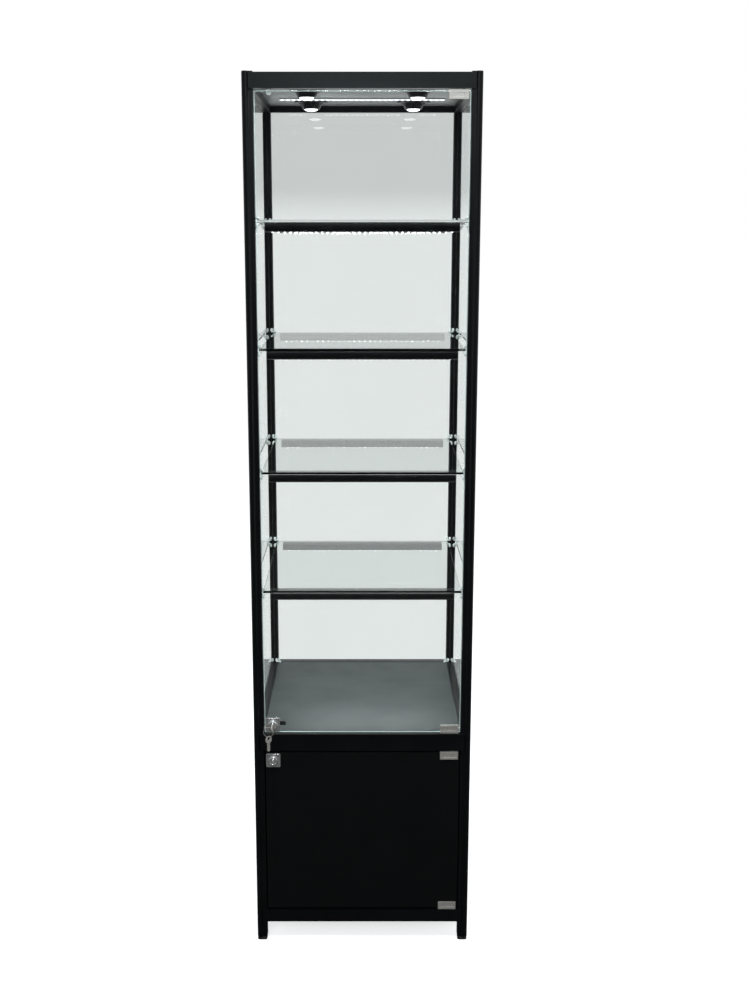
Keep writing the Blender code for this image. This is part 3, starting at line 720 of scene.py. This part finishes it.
def make_pivot_clip(node, body, glass_thickness, upward):
    """A brushed pivot clip: a U of plate round the leaf's edge, with a pressed front, screws and a pin."""
    low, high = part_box(node)
    front = low.y
    wall = 2.2 * MM
    rear = front + 2.5 * MM + glass_thickness + 2.5 * MM - 0.3 * MM
    pin_end = high.z if upward > 0 else low.z
    tip = low.z if upward > 0 else high.z
    outer = tip + upward * (16.8 * MM + wall)
    face = front + 1.9 * MM
    back_face = face + glass_thickness + 0.6 * MM
    base = outer - upward * wall
    outline = [
        (front, tip),
        (face, tip),
        (face, base),
        (back_face, base),
        (back_face, tip),
        (rear, tip),
        (rear, outer),
        (front, outer),
    ]
    shape = bmesh.new()
    add_prism(shape, outline, "X", low.x, high.x)
    clip = place(shape, node + "_plate", STEEL, body)
    cutter_shape = bmesh.new()
    middle = ((low.x + high.x) / 2, tip + upward * 9.0 * MM)
    pressed = rounded_box(middle, (32 * MM, 8.0 * MM), 2.0 * MM)
    add_prism(cutter_shape, pressed, "Y", front - 1 * MM, front + 0.45 * MM)
    apply_cut(clip, cutter_shape)
    soften(clip, 0.0004, 2)
    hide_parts(node)
    pin = (PIN_X, (face + back_face) / 2, 0)
    shape = bmesh.new()
    start, stop = sorted((outer - upward * 0.5 * MM, pin_end))
    chamfer = 0.5 * MM
    if upward > 0:
        profile = [(0, start), (3 * MM, start), (3 * MM, stop - chamfer), (2.5 * MM, stop), (0, stop)]
    else:
        profile = [(0, start), (2.5 * MM, start), (3 * MM, start + chamfer), (3 * MM, stop), (0, stop)]
    add_turned(shape, profile, pin, "Z", 32)
    place(shape, node + "_pin", CHROME, body)
    shape = bmesh.new()
    for across in (-11 * MM, 9 * MM):
        centre = (middle[0] + across, rear, tip + upward * 8 * MM)
        add_screw(shape, centre, 2.6 * MM, 0.8 * MM, 1)
    place(shape, node + "_screws", SCREW_STEEL, body)


def apply_cut(piece, cutter_shape):
    """Cuts a shape out of a piece and leaves only the result."""
    bmesh.ops.recalc_face_normals(cutter_shape, faces=cutter_shape.faces)
    cutter = add_object("cutter", make_mesh(cutter_shape, "cutter"))
    modifier = piece.modifiers.new("cut", "BOOLEAN")
    modifier.object = cutter
    modifier.operation = "DIFFERENCE"
    bpy.context.view_layer.update()
    graph = bpy.context.evaluated_depsgraph_get()
    cut_mesh = bpy.data.meshes.new_from_object(piece.evaluated_get(graph))
    piece.modifiers.remove(modifier)
    piece.data = cut_mesh
    piece.data.shade_smooth()
    piece.data.set_sharp_from_angle(angle=radians(40))
    bpy.data.objects.remove(cutter)


def make_lock(node, plug_node, body, plug_body, leaf_rear):
    """A square lock plate with a domed boss, screws, a rear nut, and a plug with its cam."""
    low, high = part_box(node)
    plate_low = low.z
    side = high.z - plate_low
    centre = ((low.x + high.x) / 2, (plate_low + high.z) / 2)
    plate_front = FRONT - 0.8 * MM
    plate_rear = FRONT + 2.2 * MM
    boss_front = low.y
    bore = 6.3 * MM
    shape = bmesh.new()
    add_prism(shape, rounded_box(centre, (side, side), 2.6 * MM), "Y", plate_front, plate_rear)
    plate = place(shape, node + "_plate", CHROME, body)
    cutter = bmesh.new()
    add_prism(cutter, ring_of(centre, bore), "Y", FRONT - 20 * MM, FRONT + 20 * MM)
    apply_cut(plate, cutter)
    soften(plate, 0.0007, 3)
    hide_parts(node)
    rise = plate_front - boss_front
    profile = [
        (bore, -0.2 * MM),
        (11.5 * MM, -0.2 * MM),
        (11.5 * MM, rise * 0.30),
        (11.3 * MM, rise * 0.55),
        (10.7 * MM, rise * 0.80),
        (9.7 * MM, rise * 0.95),
        (8.6 * MM, rise),
        (7.4 * MM, rise * 0.97),
        (6.7 * MM, rise * 0.88),
        (bore, rise * 0.80),
    ]
    shape = bmesh.new()
    add_turned(shape, profile, (centre[0], plate_front, centre[1]), "Y", 72)
    place(shape, node + "_boss", CHROME, body, 30.0)
    barrel_end = high.y
    shape = bmesh.new()
    reach = -(barrel_end - FRONT)
    profile = [(bore, reach), (9 * MM, reach), (9 * MM, -1.0 * MM), (bore, -1.0 * MM)]
    add_turned(shape, profile, (centre[0], FRONT, centre[1]), "Y", 48)
    barrel = place(shape, node + "_barrel", CHROME, body, 30.0)
    soften(barrel, 0.0004, 2)
    shape = bmesh.new()
    for sign in (-1, 1):
        spot = (centre[0] + sign * 12.3 * MM, plate_front, centre[1] + 12.3 * MM)
        add_screw(shape, spot, 1.9 * MM, 0.5 * MM, -1)
    place(shape, node + "_screws", SCREW_STEEL, body)
    shape = bmesh.new()
    profile = [
        (9.1 * MM, 0.0),
        (12.5 * MM, 0.0),
        (12.5 * MM, -1.9 * MM),
        (11.6 * MM, -2.4 * MM),
        (9.1 * MM, -2.4 * MM),
    ]
    add_turned(shape, profile, (centre[0], leaf_rear + 0.1 * MM, centre[1]), "Y", 6)
    nut = place(shape, node + "_nut", CHROME, body, 30.0)
    soften(nut, 0.0004, 2)

    plug_low, plug_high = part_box(plug_node)
    shape = bmesh.new()
    length = plug_high.y - plug_low.y
    profile = [
        (0, 0.0),
        (5.4 * MM, 0.0),
        (6.0 * MM, -0.6 * MM),
        (6.0 * MM, -length + 0.5 * MM),
        (5.5 * MM, -length),
        (0, -length),
    ]
    add_turned(shape, profile, (centre[0], plug_low.y, centre[1]), "Y", 48)
    plug = place(shape, plug_node + "_core", CHROME, plug_body)
    keyway = bmesh.new()
    half_slot = 1.3 * MM
    spot_low = (centre[0] - half_slot, plug_low.y - 1 * MM, centre[1] - 4.3 * MM)
    spot_high = (centre[0] + half_slot, plug_low.y + 10 * MM, centre[1] + 4.3 * MM)
    add_block(keyway, spot_low, spot_high)
    apply_cut(plug, keyway)
    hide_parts(plug_node)
    cam_rear = plug_high.y - 1.0 * MM
    cam_front = cam_rear - 2.0 * MM
    half_width = 5 * MM
    outline = [(centre[0] + CAM_REACH - 3 * MM, centre[1] + half_width), (centre[0], centre[1] + half_width)]
    steps = 10
    for step in range(1, steps):
        turn = pi / 2 + pi * step / steps
        outline.append((centre[0] + half_width * cos(turn), centre[1] + half_width * sin(turn)))
    outline += [
        (centre[0], centre[1] - half_width),
        (centre[0] + CAM_REACH - 3 * MM, centre[1] - half_width),
        (centre[0] + CAM_REACH, centre[1] - half_width + 3 * MM),
        (centre[0] + CAM_REACH, centre[1] + half_width - 3 * MM),
    ]
    shape = bmesh.new()
    add_prism(shape, outline, "Y", cam_front, cam_rear)
    cam = place(shape, plug_node + "_cam", CAM_STEEL, plug_body)
    soften(cam, 0.0004, 2)


def key_outline(bow_radius, blade_end, neck):
    """Outline of a key in its own plane: round bow at the origin, toothed blade along -V."""
    points = []
    gap_turn = 0.42
    steps = 28
    for step in range(steps + 1):
        turn = -pi / 2 + gap_turn + (2 * pi - 2 * gap_turn) * step / steps
        points.append((bow_radius * cos(turn), bow_radius * sin(turn)))
    points.append((-BLADE_HALF, -neck))
    points.append((-BLADE_HALF, -blade_end + 2.0 * MM))
    points.append((0.0, -blade_end))
    teeth = 5
    room = blade_end - neck - 4.0 * MM
    for tooth in range(teeth):
        start = -blade_end + 2.0 * MM + room * tooth / teeth
        points.append((BLADE_HALF, start))
        points.append((BLADE_HALF, start + room / teeth * 0.35))
        cut = BLADE_HALF - (0.9 + 0.5 * ((tooth * 2) % 3)) * MM
        points.append((cut, start + room / teeth * 0.62))
    points.append((BLADE_HALF, -neck))
    return points


def place_key(name, matrix, bow_radius, blade_end, hole, hole_radius, body):
    """A flat key. matrix takes its own plane (U, V) and thickness axis to the row frame."""
    shape = bmesh.new()
    half = KEY_THICKNESS / 2
    add_prism(shape, key_outline(bow_radius, blade_end, bow_radius + 1.5 * MM), "Z", -half, half)
    bmesh.ops.transform(shape, matrix=matrix, verts=shape.verts)
    key = place(shape, name, STEEL, body)
    cutter = bmesh.new()
    add_prism(cutter, ring_of(hole, hole_radius, 32), "Z", -half * 3, half * 3)
    bmesh.ops.transform(cutter, matrix=matrix, verts=cutter.verts)
    apply_cut(key, cutter)
    soften(key, 0.0003, 2)
    return key


def turn_onto(columns):
    """The turn that takes a key's U, V and thickness axes to these directions."""
    return Matrix(columns).transposed().to_4x4()


def make_keys():
    low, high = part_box("key_in_lock")
    lock_low, lock_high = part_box("glass_door_lock")
    lock_x = (lock_low.x + lock_high.x) / 2
    lock_z = (low.z + high.z) / 2
    bow = (high.z - low.z) / 2
    bow_y = low.y + bow
    hole_y = low.y + 6.3 * MM
    # The bow's plane is upright, with V pointing out of the lock.
    turn = turn_onto(((0, 0, 1), (0, -1, 0), (1, 0, 0)))
    matrix = Matrix.Translation((lock_x, bow_y, lock_z)) @ turn
    hole = (0, bow_y - hole_y)
    key = place_key("key_turned", matrix, bow, high.y - bow_y, hole, 4.0 * MM, "glass_door_plug")
    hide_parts("key_in_lock")

    ring_radius = 11.5 * MM
    wire = 0.8 * MM
    lean = ring_radius * cos(pi / 4)
    centre = Vector((lock_x - lean, hole_y, lock_z - lean))
    shape = bmesh.new()
    around = 72
    across = 10
    turns = 2
    rings = []
    for step in range(around * turns + 1):
        turn = 2 * pi * step / around
        outward = Vector((cos(turn), 0, sin(turn)))
        drift = (step / (around * turns) - 0.5) * wire * 0.9
        ring = []
        for side in range(across):
            lift = 2 * pi * side / across
            spot = centre + outward * (ring_radius + wire * 0.5 * cos(lift))
            ring.append(shape.verts.new(spot + Vector((0, wire * 0.5 * sin(lift) + drift, 0))))
        rings.append(ring)
    for ring, beside in zip(rings, rings[1:]):
        for side in range(across):
            other = (side + 1) % across
            shape.faces.new((ring[side], ring[other], beside[other], beside[side]))
    shape.faces.new(rings[0])
    shape.faces.new(rings[-1])
    ring_piece = place(shape, "split_ring", STEEL, "hanging_keys")
    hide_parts("hanging_key")
    bow = 8.5 * MM
    bow_z = -ring_radius - 3.9 * MM - 2.9 * MM
    upright = turn_onto(((1, 0, 0), (0, 0, 1), (0, -1, 0)))
    matrix = Matrix.Translation(centre) @ Matrix.Rotation(radians(40), 4, "Z")
    matrix = matrix @ Matrix.Translation((0, 0, bow_z)) @ upright
    place_key("spare_key", matrix, bow, 28.9 * MM, (0, 2.9 * MM), 3.6 * MM, "hanging_keys")


def make_ground_edges():
    """The door glass's four ground edges, which look pale and light up."""
    low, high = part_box("glass_door")
    bite = 0.9 * MM
    skin = 0.05 * MM
    left, right = low.x - skin, high.x + skin
    bottom, top = low.z - skin, high.z + skin
    outer = [(left, bottom), (right, bottom), (right, top), (left, top)]
    inner = [
        (left + bite, bottom + bite),
        (right - bite, bottom + bite),
        (right - bite, top - bite),
        (left + bite, top - bite),
    ]
    shape = bmesh.new()
    rings = []
    for outline in (outer, inner):
        for level in (low.y + 0.3 * MM, high.y - 0.3 * MM):
            rings.append([shape.verts.new((point[0], level, point[1])) for point in outline])
    outer_front, outer_rear, inner_front, inner_rear = rings
    for index in range(4):
        beside = (index + 1) % 4
        for first, second in (
            (outer_front, outer_rear),
            (outer_rear, inner_rear),
            (inner_rear, inner_front),
            (inner_front, outer_front),
        ):
            shape.faces.new((first[index], first[beside], second[beside], second[index]))
    place(shape, "glass_door_ground_edges", GROUND_GLASS, "glass_door_leaf")


def make_door_fittings():
    for leaf, thickness in (("glass_door", 5.0 * MM), ("storage_door", 8.0 * MM)):
        body = leaf + "_leaf"
        make_pivot_clip(leaf + "_clip_top", body, thickness, 1)
        make_pivot_clip(leaf + "_clip_bottom", body, thickness, -1)
        make_lock(leaf + "_lock", leaf + "_lock_plug", body, leaf + "_plug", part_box(leaf)[1].y)
    make_keys()


def make_door_stop():
    low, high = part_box("door_stop")
    radius = 6.3 * MM
    centre_x = (low.x + high.x) / 2
    centre_z = low.z + radius
    depth = high.y - low.y
    shape = bmesh.new()
    profile = [
        (0, 0.0),
        (4.6 * MM, 0.0),
        (5.8 * MM, -0.7 * MM),
        (radius, -2.2 * MM),
        (radius, -depth + 2.2 * MM),
        (5.8 * MM, -depth + 0.7 * MM),
        (4.6 * MM, -depth),
        (0, -depth),
    ]
    add_turned(shape, profile, (centre_x, low.y, centre_z), "Y", 48)
    profile = [(0, centre_z + 4 * MM), (2.5 * MM, centre_z + 4 * MM), (2.5 * MM, high.z), (0, high.z)]
    add_turned(shape, profile, (centre_x, (low.y + high.y) / 2, 0), "Z", 24)
    stop = place(shape, "door_bumper", CLEAR_PLASTIC, "frame")
    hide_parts("door_stop")


# Things behind the board door
CABLE_HOLE = (-170 * MM, 130 * MM)


def make_driver():
    low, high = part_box("led_driver")
    shape = bmesh.new()
    add_block(shape, (low.x + 9 * MM, low.y, low.z), (high.x - 9 * MM, high.y, high.z))
    for sign in (-1, 1):
        start, stop = sorted((sign * (high.x - 9.5 * MM), sign * high.x))
        add_block(shape, (start, low.y + 4 * MM, high.z - 4 * MM), (stop, high.y - 4 * MM, high.z))
    ribs = 9
    for rib in range(ribs):
        middle = (rib - (ribs - 1) / 2) * 14 * MM
        rib_low = (middle - 2 * MM, low.y + 3 * MM, low.z)
        add_block(shape, rib_low, (middle + 2 * MM, high.y - 3 * MM, low.z + 1 * MM))
    case = place(shape, "driver_case", DRIVER_WHITE, "frame")
    soften(case, 0.0012, 3)
    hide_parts("led_driver")


def make_grommet():
    """A black rubber grommet round the cable hole in the back panel."""
    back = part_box("back_panel")[1].y
    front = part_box("back_panel")[0].y
    middle = (back + front) / 2
    half = (back - front) / 2
    lip = 1.5 * MM
    profile = [
        (9.6 * MM, half + lip),
        (14.6 * MM, half + lip),
        (15.6 * MM, half + 0.7 * MM),
        (15.6 * MM, half + 0.15 * MM),
        (11.7 * MM, half + 0.15 * MM),
        (11.7 * MM, -half - 0.15 * MM),
        (15.6 * MM, -half - 0.15 * MM),
        (15.6 * MM, -half - 0.7 * MM),
        (14.6 * MM, -half - lip),
        (9.6 * MM, -half - lip),
    ]
    shape = bmesh.new()
    add_turned(shape, profile, (CABLE_HOLE[0], middle, CABLE_HOLE[1]), "Y", 48)
    grommet = place(shape, "cable_grommet", RUBBER, "frame")
    soften(grommet, 0.0003, 2)


# Floor, light and camera
def add_views(nodes, links):
    """Two sockets: 1 for what the camera sees, and 1 for what it sees only through glass."""
    path = nodes.new("ShaderNodeLightPath")
    bounced = nodes.new("ShaderNodeMath")
    bounced.operation = "ADD"
    bounced.use_clamp = True
    links.new(path.outputs["Diffuse Depth"], bounced.inputs[0])
    links.new(path.outputs["Glossy Depth"], bounced.inputs[1])
    through = nodes.new("ShaderNodeMath")
    through.operation = "SUBTRACT"
    through.use_clamp = True
    links.new(path.outputs["Is Transmission Ray"], through.inputs[0])
    links.new(bounced.outputs["Value"], through.inputs[1])
    return path.outputs["Is Camera Ray"], through.outputs["Value"]


def layer_views(nodes, links, base, views):
    """Lays shaders over a base, each shown as far as its view's socket says."""
    for view, shader in views:
        mix = nodes.new("ShaderNodeMixShader")
        links.new(view, mix.inputs["Fac"])
        links.new(base, mix.inputs[1])
        links.new(shader, mix.inputs[2])
        base = mix.outputs["Shader"]
    return base


def add_step(nodes, links, kind, start, end):
    """A socket that goes from 0 to 1 toward the back, by place or by a ray's direction."""
    coordinates = nodes.new("ShaderNodeTexCoord")
    split = nodes.new("ShaderNodeSeparateXYZ")
    step = nodes.new("ShaderNodeMapRange")
    step.interpolation_type = "SMOOTHSTEP"
    set_inputs(step, {"From Min": start, "From Max": end})
    links.new(coordinates.outputs[kind], split.inputs["Vector"])
    links.new(split.outputs["Y"], step.inputs["Value"])
    return step.outputs["Result"]


def make_floor():
    """A wide pale floor, white to look at, that doesn't glare in the black surfaces."""
    shape = bmesh.new()
    signs = ((-1, -1), (1, -1), (1, 1), (-1, 1))
    corners = [shape.verts.new((sx * FLOOR_REACH, sy * FLOOR_REACH, -0.4 * MM)) for sx, sy in signs]
    shape.faces.new(corners)
    floor = add_object("floor", make_mesh(shape, "floor"))
    pale = Material("pale_floor", (0.90, 0.90, 0.90), 0.8)
    glow = {"Emission Color": (1.0, 1.0, 1.0, 1.0), "Emission Strength": FLOOR_GLOW}
    set_inputs(pale.shader, {"Specular IOR Level": 0.0, **glow})
    dim = pale.nodes.new("ShaderNodeBsdfDiffuse")
    dim.inputs["Color"].default_value = (FLOOR_DIM, FLOOR_DIM, FLOOR_DIM, 1.0)
    veiled = pale.nodes.new("ShaderNodeEmission")
    set_inputs(veiled, {"Color": (*VEIL_COLOUR, 1.0), "Strength": LOW_VEIL})
    camera_view, glass_view = add_views(pale.nodes, pale.links)
    behind = add_step(pale.nodes, pale.links, "Object", 0.5, 1.5)
    lit = veiled.outputs["Emission"]
    views = ((behind, lit), (glass_view, lit), (camera_view, pale.shader.outputs["BSDF"]))
    seen = layer_views(pale.nodes, pale.links, dim.outputs["BSDF"], views)
    pale.links.new(seen, pale.nodes["Material Output"].inputs["Surface"])
    pale.data.cycles.emission_sampling = "NONE"
    floor.data.materials.append(pale.data)


def add_sky(nodes, links, stops):
    """Colours by how steeply a ray looks up: 0 straight down, 0.5 level and 1 straight up."""
    coordinates = nodes.new("ShaderNodeTexCoord")
    split = nodes.new("ShaderNodeSeparateXYZ")
    lift = nodes.new("ShaderNodeMapRange")
    set_inputs(lift, {"From Min": -1.0, "From Max": 1.0})
    ramp = nodes.new("ShaderNodeValToRGB")
    elements = ramp.color_ramp.elements
    for index, (position, colour) in enumerate(stops):
        stop = elements[index] if index < 2 else elements.new(position)
        stop.position = position
        stop.color = (*colour, 1.0)
    links.new(coordinates.outputs["Generated"], split.inputs["Vector"])
    links.new(split.outputs["Z"], lift.inputs["Value"])
    links.new(lift.outputs["Result"], ramp.inputs["Fac"])
    background = nodes.new("ShaderNodeBackground")
    links.new(ramp.outputs["Color"], background.inputs["Color"])
    return background


def make_world():
    """White behind the object, softer through its glass. A dimmer room lights it and mirrors in it."""
    world = bpy.data.worlds.new("studio")
    bpy.context.scene.world = world
    world.use_nodes = True
    nodes, links = world.node_tree.nodes, world.node_tree.links
    nodes.clear()
    level = (0.030, 0.032, 0.035)
    room_stops = (
        (0.49, level),
        (0.56, (0.08, 0.09, 0.10)),
        (0.72, (0.70, 0.80, 0.88)),
        (1.0, (1.0, 1.0, 1.0)),
    )
    room = add_sky(nodes, links, room_stops)
    room.inputs["Strength"].default_value = ROOM_LIGHT
    low_veil = tuple(part * LOW_VEIL for part in VEIL_COLOUR)
    high_veil = tuple(part * HIGH_VEIL for part in VEIL_COLOUR)
    veil = add_sky(nodes, links, ((0.508, low_veil), (0.520, high_veil)))
    white = nodes.new("ShaderNodeBackground")
    white.inputs["Color"].default_value = (1.0, 1.0, 1.0, 1.0)
    camera_view, glass_view = add_views(nodes, links)
    behind = add_step(nodes, links, "Generated", 0.25, 0.65)
    soft = veil.outputs["Background"]
    views = ((behind, soft), (glass_view, soft), (camera_view, white.outputs["Background"]))
    output = nodes.new("ShaderNodeOutputWorld")
    links.new(layer_views(nodes, links, room.outputs["Background"], views), output.inputs["Surface"])


def add_area(name, place_at, aim, size, power, mirrored=True):
    """A softbox that the camera doesn't see. Not mirrored, it doesn't show in reflections either."""
    light = bpy.data.lights.new(name, "AREA")
    light.shape = "RECTANGLE"
    light.size, light.size_y = size
    light.energy = power
    lamp = add_object(name, light)
    lamp.location = place_at
    lamp.rotation_mode = "QUATERNION"
    lamp.rotation_quaternion = (Vector(aim) - Vector(place_at)).to_track_quat("-Z", "Y")
    lamp.visible_camera = False
    lamp.visible_transmission = False
    lamp.visible_glossy = mirrored
    return lamp


def make_lights():
    """A studio's softboxes, and hidden lights that help the modelled lamps."""
    add_area("overhead", (0.4, -0.4, 4.6), (0, 0, 0.6), (3.0, 3.0), 60.0, False)
    add_area("front_key", (-0.8, -4.4, 2.4), (0, 0, 1.0), (2.4, 2.0), 80.0, False)
    fascia = add_area("fascia_softbox", (0, -3.1, 2.62), (0, FRONT, TOP), (0.75, 0.30), 8.0)
    fascia.data.color = (0.80, 0.95, 1.0)
    add_area("metal_strip", (0.2, -1.3, 3.2), (0, FRONT, 0.6), (1.6, 0.25), 30.0)
    for side, sign, power in (("left", -1, 6.0), ("right", 1, 9.0)):
        add_area(side + "_softbox", (sign * 3.4, -0.9, 1.5), (0, -0.5, 1.2), (1.4, 3.0), power)
    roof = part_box("ceiling_board")[0].z
    middle = (0, CENTRE_Y + 0.14, roof)
    add_area("ceiling_glow", (0, CENTRE_Y + 0.13, roof - 0.05), middle, (0.42, 0.26), 0.15, False)
    add_area("downlight", (0, CENTRE_Y, roof - 0.03), (0, CENTRE_Y, 0), (0.30, 0.30), 1.2, False)
    deck_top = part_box("deck_board")[1].z
    spot = (0.02, FRONT + 0.075, deck_top + 0.10)
    add_area("deck_glow", spot, (0.02, FRONT + 0.09, 0), (0.30, 0.04), 0.55, False)
    for number in SHELVES:
        for where, sign in (("front", 1), ("rear", -1)):
            low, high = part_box(f"shelf_{number}_{where}_light_bar")
            spot = Vector((0, (low.y + high.y) / 2 + sign * 6 * MM, low.z - 3 * MM))
            aim = spot + Vector((0, sign * 0.25, -1))
            power = LOWEST_FRONT_POWER if (number, where) == (4, "front") else BAR_POWER
            add_area(f"shelf_{number}_{where}_light", spot, aim, (0.39, 0.006), power, False)


def make_camera():
    """A standing viewer's eye, 2.54 m in front of the posts, looking slightly down."""
    data = bpy.data.cameras.new("camera")
    data.lens = LENS
    data.sensor_width = 36.0
    data.shift_x, data.shift_y = LENS_SHIFT
    camera = add_object("camera", data)
    camera.location = (0.0, FRONT - EYE_DISTANCE, EYE_HEIGHT)
    camera.rotation_euler = (radians(90 - EYE_TILT), 0, 0)
    bpy.context.scene.camera = camera


dress_nodes()
make_posts()
make_feet()
make_gaskets()
make_shelf_clips()
make_light_bars()
make_ceiling_light()
make_lamps()
make_door_fittings()
make_ground_edges()
make_door_stop()
make_driver()
make_grommet()
make_floor()
make_world()
make_lights()
make_camera()
bpy.context.scene.view_settings.view_transform = "Standard"
